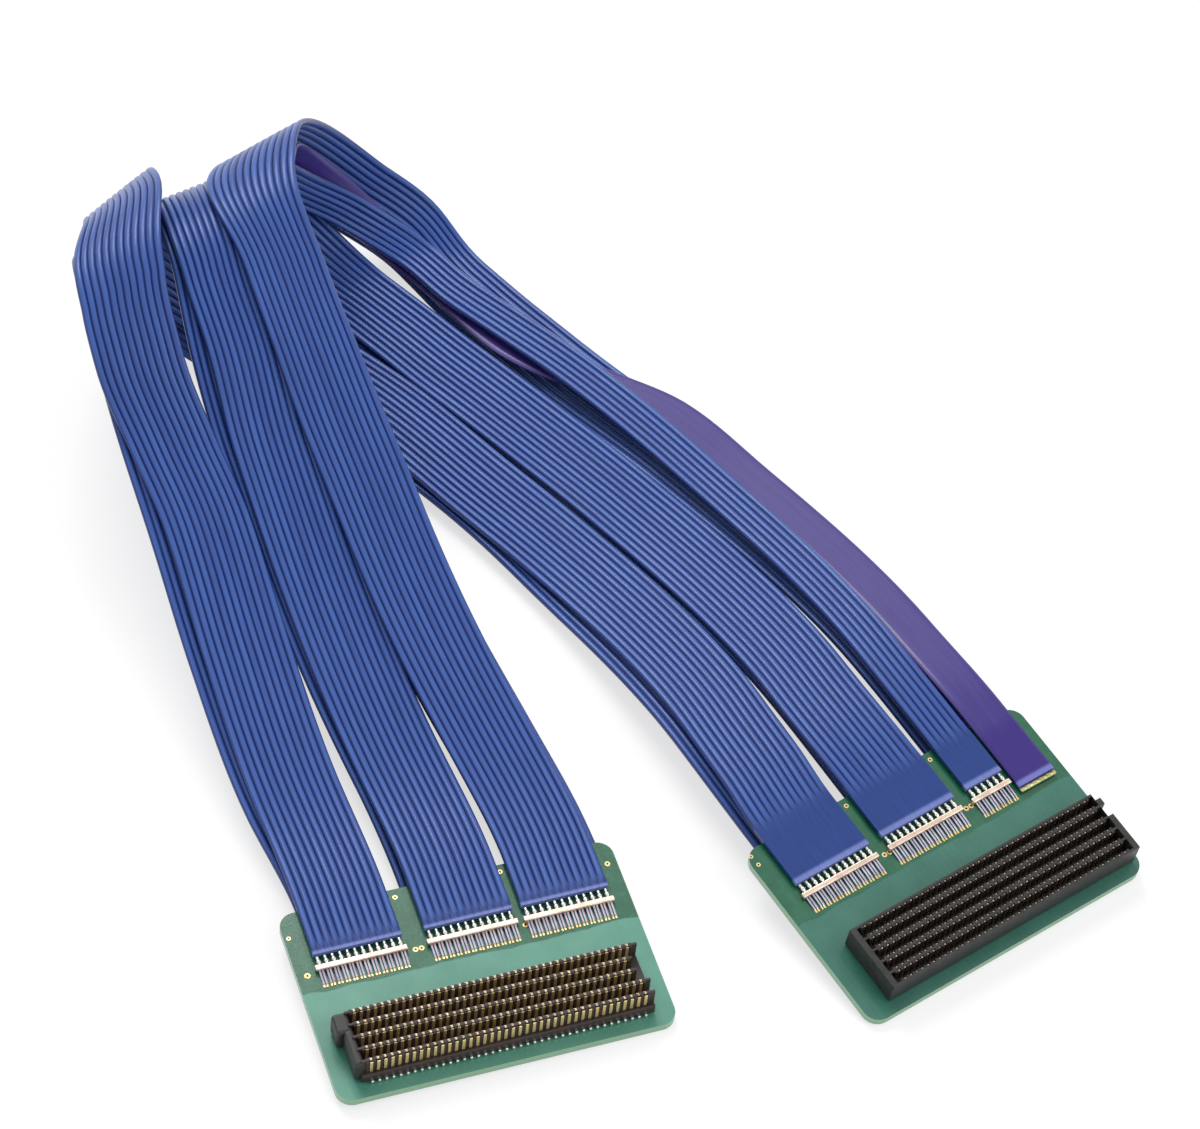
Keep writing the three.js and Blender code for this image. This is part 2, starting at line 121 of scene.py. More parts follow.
ribbons = [
    {
        "name": "outer_ribbon_left", "side": 1, "cores": 12, "width": wide, "reach": 10.2, "lane": -wide,
        "way": [(0, -2.7), (25, -2.8), (55, -1.8), (80, -1.8), (96, -4.2), (112, -7.6), (128, -8.0),
                (142, -2.2), (160, -2.6), (195, -0.6), (225, 0.6), (250, 0.2), (288, -1.4),
                (length, -2.7)],
        "stack": plainStack, "loop": leftLoop, "flat": (-8.4, length + 8.4),
    },
    {
        "name": "outer_ribbon_middle", "side": 1, "cores": 12, "width": wide, "reach": 10.2, "lane": 0,
        "way": [(0, 1.4), (25, 0.8), (55, 0.1), (80, -0.8), (96, -1.6), (112, -2.2), (128, -4.0), (142, -4.2),
                (156, -3.4), (175, -0.6), (195, 1.2), (225, 2.6), (250, 1.8), (288, 1.4), (length, 1.4)],
        "stack": plainStack, "loop": middleLoop, "flat": (-8.6, length + 8.4),
    },
    {
        "name": "outer_ribbon_right", "side": 1, "cores": 12, "width": wide, "reach": 10.2, "lane": wide,
        "way": [(0, 3), (25, 1.4), (55, -0.8), (80, -2.8), (96, -4.6), (112, -6.7), (128, -9.0), (142, -11.2),
                (156, -5.8), (170, 0.8), (184, 6.5), (198, 10.8), (212, 7.2), (226, 4.5), (250, 2.4),
                (288, 2.8), (length, 3.3)],
        "stack": [(0, onBoard), (12, onBoard), (35, overOther), (235, overOther), (270, inBundle),
                  (length - 25, inBundle), (length, onBoard)],
        "loop": rightLoop, "flat": (-8.5, length + 8.4),
    },
    {
        "name": "inner_ribbon_left", "side": -1, "cores": 12, "width": wide, "reach": 10.2, "lane": -wide,
        "way": [(0, -2.3), (25, -4.4), (55, -4.2), (80, -4.4), (110, -6.2), (130, -6.8), (145, -5.6),
                (160, -2.0), (185, 3.7), (215, 3.4), (250, 0.8), (284, 1), (317, 0.3), (340, -1),
                (length, -2.3)],
        "stack": plainStack, "loop": innerLoop, "flat": (1.0, length - 2.6),
    },
    {
        "name": "inner_ribbon_middle", "side": -1, "cores": 12, "width": wide, "reach": 10.2, "lane": 0,
        "way": [(0, 0.6), (25, 0), (55, -1.5), (80, -2.8), (110, -5.0), (130, -5.2), (142, -5.0), (156, -1.4),
                (168, 3.2), (180, 6.2), (195, 6.8), (210, 4.8), (225, 2.8), (250, 1.6), (284, 1.9),
                (317, 1.5), (length, 0.6)],
        "stack": plainStack, "loop": middleLoop, "flat": (1.0, length + 0.4),
    },
    {
        "name": "smooth_ribbon", "side": -1, "cores": 0, "width": filmWidth, "reach": 14.6, "lane": wide / 2,
        "way": [(0, 8.1), (25, 6.5), (55, 3.9), (80, 3.4), (100, 3.0), (120, 1.8), (140, 0.2),
                (155, 4.4), (170, 8.6), (185, 12.2), (200, 12.9), (214, 10.2), (227, 7.8), (236, 8.4),
                (247, 11.5), (262, 16.1), (284, 16.3), (length, 16.3)],
        "stack": plainStack, "loop": rightLoop, "flat": (-2.4, length + 2.4),
    },
    {
        "name": "narrow_ribbon", "side": -1, "cores": 6, "width": narrow, "reach": 10.2, "lane": wide / 2,
        "way": [(0, 16.8), (25, 15.1), (55, 12.9), (80, 8.6), (100, 4.6), (120, 1.0), (140, -0.8),
                (155, 1.4), (170, 5.4), (185, 10.8), (200, 13.0), (214, 10.3), (227, 9.6), (240, 9.5),
                (258, 9.1), (284, 8.5), (318, 7.8), (length, 7.5)],
        "stack": [(0, onBoard), (25, inBundle), (32, inBundle), (54, overOther), (318, overOther),
                  (length, onBoard)],
        "loop": rightLoop, "flat": (1.0, length + 0.2),
    },
]


def between(knots, place):
    return np.interp(place, [k[0] for k in knots], [k[1] for k in knots])


def smoothly(knots, place):
    xs = np.array([k[0] for k in knots], float)
    ys = np.array([k[1] for k in knots], float)
    slopes = np.zeros(len(xs))
    slopes[1:-1] = (ys[2:] - ys[:-2]) / (xs[2:] - xs[:-2])
    place = np.clip(place, xs[0], xs[-1])
    i = np.clip(np.searchsorted(xs, place, side="left") - 1, 0, len(xs) - 2)
    span = xs[i + 1] - xs[i]
    u = (place - xs[i]) / span
    fromStart = (1 + 2 * u) * (1 - u) ** 2 * ys[i] + u * (1 - u) ** 2 * span * slopes[i]
    fromEnd = u ** 2 * (3 - 2 * u) * ys[i + 1] - u ** 2 * (1 - u) * span * slopes[i + 1]
    return fromStart + fromEnd


def loopEdges(loop, along):
    left = smoothly([(k[0], k[1]) for k in loop["edges"]], along)
    right = smoothly([(k[0], k[2]) for k in loop["edges"]], along)
    return left, right


def loopLift(loop, along, across):
    left, right = loopEdges(loop, along)
    share = np.clip((across - smoothly(loop["middle"], along)) / wide + 0.5, 0, 1)
    return left + (right - left) * share


def loopNarrowing(loop, along):
    left, right = loopEdges(loop, along)
    return np.cos(np.arctan((right - left) / wide))


def traced(angleAt, final):
    step = sheet["step"]
    places = np.arange(int(final / step) + 3) * step
    angles = angleAt(places[:-1] + step / 2)
    xs = np.concatenate([[0], np.cumsum(step * np.cos(angles))])
    ys = np.concatenate([[0], np.cumsum(step * np.sin(angles))])
    first = float(angleAt(np.array([0.0]))[0])

    def at(place):
        before = np.minimum(place, 0)
        x = np.interp(place, places, xs) + before * math.cos(first)
        y = np.interp(place, places, ys) + before * math.sin(first)
        return x, y

    return at


def headingAt(along):
    return np.radians(between(sheet["heading"], along))


def baseHeightFrom(section):
    lowest = 0
    for across in (-board["width"] / 2, board["width"] / 2):
        _, t = spine(np.array(-board["depth"]))
        t = t - across * math.cos(headingAt(-board["depth"]))
        lowest = min(lowest, float(section(np.minimum(t, 0))[1]))
    return board["thickness"] / 2 * math.cos(math.radians(sheet["leftPitch"])) - lowest


spine = traced(headingAt, length + board["depth"])
legSlope = [(sheet["climbStart"], sheet["leftPitch"]), (sheet["climbFull"], sheet["climb"]),
            (sheet["foldStart"], sheet["climb"])]
legSection = traced(lambda t: np.radians(between(legSlope, t)), sheet["foldStart"])
baseHeight = baseHeightFrom(legSection)
foldHeight = baseHeight + float(legSection(np.array(sheet["foldStart"]))[1]) - sheet["legLevel"]
foldRadius = foldHeight / (1 + math.cos(math.radians(sheet["climb"])))
foldEnd = sheet["foldStart"] + foldRadius * math.radians(sheet["climb"] + 180)
fullSlope = legSlope + [(foldEnd, -180)]
section = traced(lambda t: np.radians(between(fullSlope, t)), foldEnd + length)


def hump(along):
    pitch = math.radians(sheet["rightPitch"])
    backHeight = board["depth"] * math.sin(pitch) + board["thickness"] / 2 * math.cos(pitch)
    rise = backHeight - sheet["legLevel"]
    slope = math.tan(pitch)
    back = length - along
    u = np.clip(back / sheet["humpLength"], 0, 1)
    lifted = rise * (1 - 3 * u ** 2 + 2 * u ** 3)
    lifted = lifted + slope * sheet["humpLength"] * (u - 2 * u ** 2 + u ** 3)
    return np.where(back <= 0, rise + slope * back, lifted)


def sheetPoint(along, across):
    angle = headingAt(along)
    a, t = spine(along)
    out, up = section(t - across * np.cos(angle))
    axis = math.radians(sheet["axisAngle"])
    run = a + across * np.sin(angle)
    x = run * math.cos(axis) - out * math.sin(axis) + sheet["shift"][0]
    y = run * math.sin(axis) + out * math.cos(axis) + sheet["shift"][1]
    z = baseHeight + up + hump(along) + 0 * run
    return np.stack([x, y, z], axis=-1)


def unit(vectors):
    return vectors / np.linalg.norm(vectors, axis=-1, keepdims=True)


def sheetFrame(along, across):
    reach = sheet["reach"]
    point = sheetPoint(along, across)
    acrossWay = unit(sheetPoint(along, across + reach) - sheetPoint(along, across - reach))
    onward = sheetPoint(along + reach, across) - sheetPoint(along - reach, across)
    normal = unit(np.cross(acrossWay, onward))
    return point, acrossWay, np.cross(normal, acrossWay), normal


def boardMatrix(along, facing):
    point, acrossWay, alongWay, normal = sheetFrame(np.array(float(along)), np.array(0.0))
    columns = np.stack([acrossWay, alongWay * facing, normal * facing], axis=1)
    matrix = Matrix(columns.tolist()).to_4x4()
    matrix.translation = Vector(point * mm)
    return matrix


boards = {"left": boardMatrix(0, 1), "right": boardMatrix(length, -1)}
print("way of the cable worked out")

# The camera looks down along +Y from the photograph's place
camera = {
    "elevation": 49.2,
    "roll": 3.4,
    "distance": 918.3,
    "sensor": 36,
    "lens": 146.67,
    "clipStart": 0.05,
    "target": (-23.67, 80.87, 0),
}


def addCamera():
    e = math.radians(camera["elevation"])
    k = math.radians(camera["roll"])
    level = Vector((1, 0, 0))
    forward = Vector((0, math.cos(e), -math.sin(e)))
    upright = level.cross(forward)
    right = math.cos(k) * level + math.sin(k) * upright
    up = -math.sin(k) * level + math.cos(k) * upright
    bpy.ops.object.camera_add()
    eye = bpy.context.object
    turn = Matrix((right, up, -forward)).transposed().to_4x4()
    place = (Vector(camera["target"]) - forward * camera["distance"]) * mm
    eye.matrix_world = Matrix.Translation(place) @ turn
    eye.data.lens = camera["lens"]
    eye.data.sensor_width = camera["sensor"]
    eye.data.clip_start = camera["clipStart"]
    bpy.context.scene.camera = eye


addCamera()
print("camera set")


# Small helpers for the materials
def newNode(tree, kind, **settings):
    node = tree.nodes.new(kind)
    for key, value in settings.items():
        setattr(node, key, value)
    return node


def join(tree, source, target):
    tree.links.new(source, target)


def arithmetic(tree, operation, first, second=None, third=None):
    node = newNode(tree, "ShaderNodeMath", operation=operation)
    for slot, value in enumerate((first, second, third)):
        if isinstance(value, (int, float)):
            node.inputs[slot].default_value = value
        elif value is not None:
            join(tree, value, node.inputs[slot])
    return node.outputs[0]


def remap(tree, value, low, high, toLow=0.0, toHigh=1.0):
    node = newNode(tree, "ShaderNodeMapRange", interpolation_type="SMOOTHSTEP")
    join(tree, value, node.inputs["Value"])
    for name, number in (("From Min", low), ("From Max", high), ("To Min", toLow), ("To Max", toHigh)):
        node.inputs[name].default_value = number
    return node.outputs["Result"]


def mixColours(tree, share, first, second, blend="MIX"):
    node = newNode(tree, "ShaderNodeMix", data_type="RGBA", blend_type=blend)
    for socket, value in ((node.inputs[0], share), (node.inputs[6], first), (node.inputs[7], second)):
        if isinstance(value, (int, float)):
            socket.default_value = value
        elif isinstance(value, tuple):
            socket.default_value = (*value, 1)
        else:
            join(tree, value, socket)
    return node.outputs[2]


def combine(tree, x, y, z=0.0):
    node = newNode(tree, "ShaderNodeCombineXYZ")
    for slot, value in enumerate((x, y, z)):
        if isinstance(value, (int, float)):
            node.inputs[slot].default_value = value
        else:
            join(tree, value, node.inputs[slot])
    return node.outputs[0]


def mottleGroup():
    group = bpy.data.node_groups.new("mottle", "ShaderNodeTree")
    face = group.interface
    face.new_socket("Vector", in_out="INPUT", socket_type="NodeSocketVector")
    for name, value in (("Scale", 100.0), ("Low", 0.35), ("High", 0.65), ("Fine Share", 0.3)):
        face.new_socket(name, in_out="INPUT", socket_type="NodeSocketFloat").default_value = value
    face.new_socket("Dark", in_out="INPUT", socket_type="NodeSocketColor")
    face.new_socket("Light", in_out="INPUT", socket_type="NodeSocketColor")
    face.new_socket("Colour", in_out="OUTPUT", socket_type="NodeSocketColor")
    for name in ("Mask", "Height"):
        face.new_socket(name, in_out="OUTPUT", socket_type="NodeSocketFloat")
    given = newNode(group, "NodeGroupInput")
    result = newNode(group, "NodeGroupOutput")
    coarse = newNode(group, "ShaderNodeTexNoise", noise_dimensions="3D")
    coarse.inputs["Detail"].default_value = 3
    fine = newNode(group, "ShaderNodeTexNoise", noise_dimensions="3D")
    fine.inputs["Detail"].default_value = 2
    join(group, given.outputs["Vector"], coarse.inputs["Vector"])
    join(group, given.outputs["Vector"], fine.inputs["Vector"])
    join(group, given.outputs["Scale"], coarse.inputs["Scale"])
    join(group, arithmetic(group, "MULTIPLY", given.outputs["Scale"], 5.3), fine.inputs["Scale"])
    spread = newNode(group, "ShaderNodeMapRange")
    join(group, coarse.outputs["Fac"], spread.inputs["Value"])
    join(group, given.outputs["Low"], spread.inputs["From Min"])
    join(group, given.outputs["High"], spread.inputs["From Max"])
    both = newNode(group, "ShaderNodeMix", data_type="FLOAT")
    join(group, given.outputs["Fine Share"], both.inputs[0])
    join(group, spread.outputs["Result"], both.inputs[2])
    join(group, fine.outputs["Fac"], both.inputs[3])
    mask = both.outputs[0]
    colour = mixColours(group, mask, given.outputs["Dark"], given.outputs["Light"])
    join(group, mask, result.inputs["Mask"])
    join(group, colour, result.inputs["Colour"])
    join(group, arithmetic(group, "ADD", mask, fine.outputs["Fac"]), result.inputs["Height"])
    return group


mottle = mottleGroup()


def addMottle(tree, vector, scale, dark, light, low=0.35, high=0.65, fine=0.3):
    node = newNode(tree, "ShaderNodeGroup")
    node.node_tree = mottle
    join(tree, vector, node.inputs["Vector"])
    for name, value in (("Scale", scale), ("Low", low), ("High", high), ("Fine Share", fine)):
        node.inputs[name].default_value = value
    node.inputs["Dark"].default_value = (*dark, 1)
    node.inputs["Light"].default_value = (*light, 1)
    return node


def newMaterial(name, metallic=0.0, roughness=0.4, coat=0.0, coatRoughness=0.1, specular=0.5):
    material = bpy.data.materials.new(name)
    material.use_nodes = True
    shader = material.node_tree.nodes["Principled BSDF"]
    shader.inputs["Metallic"].default_value = metallic
    shader.inputs["Roughness"].default_value = roughness
    shader.inputs["Coat Weight"].default_value = coat
    shader.inputs["Coat Roughness"].default_value = coatRoughness
    shader.inputs["Specular IOR Level"].default_value = specular
    return material, material.node_tree, shader


def addBump(tree, shader, height, strength, distance):
    bump = newNode(tree, "ShaderNodeBump")
    bump.inputs["Strength"].default_value = strength
    bump.inputs["Distance"].default_value = distance
    join(tree, height, bump.inputs["Height"])
    join(tree, bump.outputs["Normal"], shader.inputs["Normal"])


# Light, floor and world
studio = {
    "key": ((-0.35, 0.75, 0.9), 0.5, 9.0),  # place and size in metres, power in watts
    "fill": ((0.8, -0.3, 0.8), 0.7, 4.0),
    "aim": (-0.02, 0.06, 0),
    "worldStrength": 0.75,
    "floorWhite": 0.93,
    "floorGlow": 0.66,  # share of plain white that the camera sees on the floor
}


def addArea(name, place, size, power):
    bpy.ops.object.light_add(type="AREA", location=place)
    lamp = bpy.context.object
    lamp.name = name
    lamp.data.size = size
    lamp.data.energy = power
    aim = Vector(studio["aim"]) - Vector(place)
    lamp.rotation_euler = aim.to_track_quat("-Z", "Y").to_euler()


def addStudio():
    addArea("keyLight", *studio["key"])
    addArea("fillLight", *studio["fill"])
    world = bpy.data.worlds.new("paleRoom")
    bpy.context.scene.world = world
    world.use_nodes = True
    tree = world.node_tree
    sky = tree.nodes["Background"]
    sky.inputs["Color"].default_value = (1, 1, 1, 1)
    path = newNode(tree, "ShaderNodeLightPath")
    seen = arithmetic(tree, "MAXIMUM", path.outputs["Is Camera Ray"], path.outputs["Is Glossy Ray"])
    seen = arithmetic(tree, "MAXIMUM", seen, path.outputs["Is Transmission Ray"])
    lit = studio["worldStrength"]
    join(tree, arithmetic(tree, "MULTIPLY_ADD", seen, 1 - lit, lit), sky.inputs["Strength"])
    bpy.ops.mesh.primitive_plane_add(size=6, location=(0, 0, -0.0002))
    floor = bpy.context.object
    floor.name = "floor"
    material, tree, shader = newMaterial("paleFloor", roughness=0.9, specular=0.1)
    white = studio["floorWhite"]
    coords = newNode(tree, "ShaderNodeTexCoord").outputs["Object"]
    paper = addMottle(tree, coords, 40, (white - 0.01,) * 3, (white,) * 3)
    join(tree, paper.outputs["Colour"], shader.inputs["Base Color"])
    glow = newNode(tree, "ShaderNodeEmission")
    glow.inputs["Strength"].default_value = 1
    mix = newNode(tree, "ShaderNodeMixShader")
    seen = newNode(tree, "ShaderNodeLightPath").outputs["Is Camera Ray"]
    join(tree, arithmetic(tree, "MULTIPLY", seen, studio["floorGlow"]), mix.inputs[0])
    join(tree, shader.outputs[0], mix.inputs[1])
    join(tree, glow.outputs[0], mix.inputs[2])
    join(tree, mix.outputs[0], tree.nodes["Material Output"].inputs["Surface"])
    floor.data.materials.append(material)
    bpy.context.scene.view_settings.view_transform = "Standard"


addStudio()
print("studio lit")

# Ribbon jackets
jacketLook = {
    "ridge": (0.036, 0.096, 0.34),
    "ridgeDim": (0.021, 0.058, 0.25),
    # valley: painted shade for the grooves between cores, also the colour of the faint lines on pressed film
    "valley": (0.009, 0.026, 0.14),
    "film": (0.007, 0.034, 0.185),
    # light band at the jacket's curved end: painted highlight
    "endHighlight": (0.13, 0.17, 0.42),
    "roughness": 0.36,
    "coat": 0.1,
    "coatRoughness": 0.22,
    "specular": 0.32,
}
filmLook = {
    "light": (0.04, 0.025, 0.185),
    "dark": (0.028, 0.015, 0.15),
    "flat": (0.022, 0.006, 0.15),
    # light band at the film's curved end: painted highlight
    "endHighlight": (0.13, 0.14, 0.42),
    "roughness": 0.4,
    "coat": 0.15,
    "coatRoughness": 0.25,
    "specular": 0.35,
}


def ribbonMaterial(name, look):
    return newMaterial(name, roughness=look["roughness"], coat=look["coat"],
                       coatRoughness=look["coatRoughness"], specular=look["specular"])


# U counts the cores across, V is the way along in centimetres
def ribbonCoords(tree):
    parts = newNode(tree, "ShaderNodeSeparateXYZ")
    join(tree, newNode(tree, "ShaderNodeUVMap", uv_map="alongCores").outputs[0], parts.inputs[0])
    return parts.outputs[0], parts.outputs[1]


def stretched(tree, u, v, timesU, timesV):
    return combine(tree, arithmetic(tree, "MULTIPLY", u, timesU), arithmetic(tree, "MULTIPLY", v, timesV))


def jacketMaterial():
    look = jacketLook
    material, tree, shader = ribbonMaterial("blueJacket", look)
    u, v = ribbonCoords(tree)
    withinCore = arithmetic(tree, "SUBTRACT", arithmetic(tree, "FRACT", u), 0.5)
    fromMiddle = arithmetic(tree, "ABSOLUTE", withinCore)
    core = arithmetic(tree, "FLOOR", u)
    perCore = addMottle(tree, stretched(tree, core, v, 7.3, 0.25), 1.0,
                        look["ridgeDim"], look["ridge"], 0.3, 0.7, 0.2)
    streaks = addMottle(tree, stretched(tree, u, v, 3.0, 0.7), 1.0,
                        (0.8, 0.8, 0.8), (1.12, 1.12, 1.12), 0.3, 0.7, 0.4)
    # The grooves between cores darken towards the valley colour: painted shade
    grooveShade = remap(tree, fromMiddle, 0.22, 0.44)
    ridged = mixColours(tree, grooveShade, perCore.outputs["Colour"], look["valley"])
    stripe = remap(tree, fromMiddle, 0.3, 0.5, 0.0, 0.22)
    pressed = mixColours(tree, stripe, look["film"], look["valley"])
    flat = newNode(tree, "ShaderNodeAttribute", attribute_name="flat").outputs["Fac"]
    colour = mixColours(tree, remap(tree, flat, 0.0, 1.0), ridged, pressed)
    # Lighter band at the very end: painted highlight
    colour = mixColours(tree, remap(tree, flat, 1.3, 1.7), colour, look["endHighlight"])
    colour = mixColours(tree, 1.0, colour, streaks.outputs["Colour"], "MULTIPLY")
    join(tree, colour, shader.inputs["Base Color"])
    smooth, rough = look["roughness"] - 0.06, look["roughness"] + 0.1
    join(tree, remap(tree, streaks.outputs["Mask"], 0, 1, smooth, rough), shader.inputs["Roughness"])
    addBump(tree, shader, streaks.outputs["Height"], 0.25, 0.05 * mm)
    return material


def filmMaterial():
    look = filmLook
    material, tree, shader = ribbonMaterial("purpleFilm", look)
    u, v = ribbonCoords(tree)
    streaks = addMottle(tree, stretched(tree, u, v, 1.5, 0.5), 1.0,
                        look["dark"], look["light"], 0.3, 0.7, 0.15)
    flat = newNode(tree, "ShaderNodeAttribute", attribute_name="flat").outputs["Fac"]
    colour = mixColours(tree, remap(tree, flat, 0.0, 1.0), streaks.outputs["Colour"], look["flat"])
    # Lighter band at the very end: painted highlight
    colour = mixColours(tree, remap(tree, flat, 1.3, 1.7), colour, look["endHighlight"])
    join(tree, colour, shader.inputs["Base Color"])
    join(tree, remap(tree, streaks.outputs["Mask"], 0, 1, 0.34, 0.46), shader.inputs["Roughness"])
    addBump(tree, shader, streaks.outputs["Height"], 0.2, 0.05 * mm)
    return material


# Points across a ribbon: offset, lift of the jacket there, place in cores, and which core
def ribbonProfile(cores, width):
    half = width / 2
    if not cores:
        count = jacket["filmPoints"]
        return [(-half + width * i / count, 0.0, i / count * 6, 0) for i in range(count + 1)]
    rows = []
    for core in range(cores):
        for share in jacket["coreShares"]:
            lift = math.sqrt(max(0.0, 1 - (share / jacket["coreHalf"]) ** 2))
            rows.append((-half + (core + 0.5 + share) * jacket["pitch"], lift, core + 0.5 + share, core))
    rows.append((half, 0.0, cores, cores - 1))
    return rows


# How far the ridges are pressed flat at each station, and a mark that also shows the painted highlight band
# at the ends
def flatness(spec, stations):
    low, high = spec["flat"]
    fade = jacket["fade"]
    leftFlat = np.clip((low + fade / 2 - stations) / fade, 0, 1)
    rightFlat = np.clip((stations - high + fade / 2) / fade, 0, 1)
    flat = np.maximum(leftFlat, rightFlat)
    toEnd = spec["reach"] + np.minimum(stations, length - stations)
    return flat, flat + np.clip((jacket["endHighlight"] - toEnd) / 0.3 + 1, 0, 1)


# Each core wanders a little from side to side and in height
def coreWave(spec, stations, coreIndex):
    dice = random.Random(spec["name"])
    phases = [[dice.uniform(0, 6.28) for _ in range(3)] for _ in range(max(spec["cores"], 1))]
    phases = np.array(phases)[coreIndex]
    wave = 0
    for k, span in enumerate(jacket["waveSpans"]):
        wave = wave + np.sin(stations[:, None] / span + phases[:, k][None, :])
    return wave


# Half thickness of the jacket and the place across, at each station and point of the profile
def ribbonSection(spec, stations, offsets, lifts, wave, flat):
    lane = spec["lane"] + smoothly(spec["way"], stations)
    across = lane[:, None] - loopNarrowing(spec["loop"], stations)[:, None] * offsets[None, :]
    if not spec["cores"]:
        rounded = np.clip((np.abs(offsets) - spec["width"] / 2 + 0.5) / 0.5, 0, 1)
        ripple = jacket["ripple"] * np.sin(stations / 13)[:, None]
        return (0.5 + ripple) * (1 - 0.6 * rounded ** 2)[None, :], across
    calm = (1 - flat)[:, None]
    rise = jacket["thick"] / 2 - jacket["valley"]
    ridge = jacket["valley"] + rise * lifts[None, :] * (1 - 0.03 * (1 + wave / 3))
    pressed = jacket["film"] * (0.94 + 0.06 * lifts[None, :])
    half = ridge * calm + pressed * flat[:, None]
    return half, across - jacket["wander"] * wave / 3 * calm * (lifts[None, :] > 0)


# A closed tube through rings of points, with its UV map and the mark of flatness and painted end highlight
def ribbonMesh(name, ring, ringU, stations, flatAndHighlightMark):
    count, around = ring.shape[:2]
    index = np.arange(count * around).reshape(count, around)
    turned = np.roll(index, -1, axis=1)
    faces = np.stack([index[:-1], turned[:-1], turned[1:], index[1:]], axis=-1).reshape(-1, 4).tolist()
    faces += [index[0][::-1].tolist(), index[-1].tolist()]
    mesh = bpy.data.meshes.new(name)
    mesh.from_pydata(ring.reshape(-1, 3).tolist(), [], faces)
    uvLayer = mesh.uv_layers.new(name="alongCores")
    vertexOf = np.empty(len(mesh.loops), dtype=np.int32)
    mesh.loops.foreach_get("vertex_index", vertexOf)
    values = np.stack([ringU[vertexOf % around], stations[vertexOf // around] * 0.1], axis=-1)
    uvLayer.data.foreach_set("uv", values.astype(np.float32).ravel())
    mark = mesh.attributes.new("flat", "FLOAT", "POINT")
    mark.data.foreach_set("value", np.repeat(flatAndHighlightMark, around).astype(np.float32))
    shape = bmesh.new()
    shape.from_mesh(mesh)
    bmesh.ops.recalc_face_normals(shape, faces=shape.faces)
    shape.to_mesh(mesh)
    shape.free()
    return mesh


def makeRibbon(spec, material):
    side, reach, loop = spec["side"], spec["reach"], spec["loop"]
    offsets, lifts, us, coreIndex = map(np.array, zip(*ribbonProfile(spec["cores"], spec["width"])))
    count = int((length + 2 * reach) / jacket["step"])
    stations = np.linspace(-reach, length + reach, count)
    flat, flatAndHighlightMark = flatness(spec, stations)
    wave = coreWave(spec, stations, coreIndex)
    half, across = ribbonSection(spec, stations, offsets, lifts, wave, flat)
    point, _, _, normal = sheetFrame(np.broadcast_to(stations[:, None], across.shape), across)
    stack = side * smoothly(spec["stack"], stations)
    rise = stack[:, None] + loopLift(loop, stations[:, None], across)
    top = (point + normal * (rise + half)[..., None]) * mm
    under = (point + normal * (rise - half)[..., None]) * mm
    ring = np.concatenate([top, under[:, ::-1]], axis=1)
    name = spec["name"] + "_jacket"
    mesh = ribbonMesh(name, ring, np.concatenate([us, us[::-1]]), stations, flatAndHighlightMark)
    mesh.materials.append(material)
    piece = bpy.data.objects.new(name, mesh)
    bpy.context.collection.objects.link(piece)
    deselect(piece)
    bpy.ops.object.shade_smooth_by_angle(angle=math.radians(50))
    lane = spec["lane"] + smoothly(spec["way"], stations)
    middle, _, _, upward = sheetFrame(stations, lane)
    path = (middle + upward * (stack + loopLift(loop, stations, lane))[:, None]) * mm
    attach(piece, "root")
    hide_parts(spec["name"])


blueJacket = jacketMaterial()
purpleFilm = filmMaterial()
for spec in ribbons:
    makeRibbon(spec, blueJacket if spec["cores"] else purpleFilm)
print("ribbons laid")

# Finishes of the boards, their joints and their connectors
boardLook = {  # darker and lighter tone of each
    "left": ((0.045, 0.2, 0.14), (0.085, 0.27, 0.2)),
    "right": ((0.014, 0.105, 0.075), (0.03, 0.15, 0.11)),
    "coated": ((0.003, 0.075, 0.035), (0.01, 0.12, 0.06)),
    "edge": (0.2, 0.36, 0.23),
    "coatedDepth": 17.0,
}
metalLook = {
    "gold": ((0.66, 0.44, 0.16), (1.0, 0.8, 0.42)),
    "tin": ((0.5, 0.49, 0.47), (0.88, 0.87, 0.84)),
    "bar": ((0.45, 0.32, 0.26), (0.92, 0.78, 0.64)),
    "tip": ((0.16, 0.135, 0.1), (0.6, 0.52, 0.4)),
    "wire": ((0.4, 0.36, 0.5), (0.8, 0.76, 0.88)),
    "strip": ((0.3, 0.3, 0.12), (0.72, 0.66, 0.36)),
}
housingLook = {
    "inner": ((0.013, 0.008, 0.007), (0.04, 0.025, 0.021)),
    "wall": ((0.011, 0.011, 0.011), (0.03, 0.029, 0.028)),
}


def boardCoords(tree, side):
    seated = newNode(tree, "ShaderNodeMapping", vector_type="TEXTURE")
    join(tree, newNode(tree, "ShaderNodeTexCoord").outputs["Object"], seated.inputs["Vector"])
    seated.inputs["Location"].default_value = boards[side].to_translation()
    seated.inputs["Rotation"].default_value = boards[side].to_euler("XYZ")
    scaled = newNode(tree, "ShaderNodeVectorMath", operation="SCALE")
    scaled.inputs["Scale"].default_value = 1000.0  # to millimetres
    join(tree, seated.outputs["Vector"], scaled.inputs[0])
    return scaled.outputs[0]


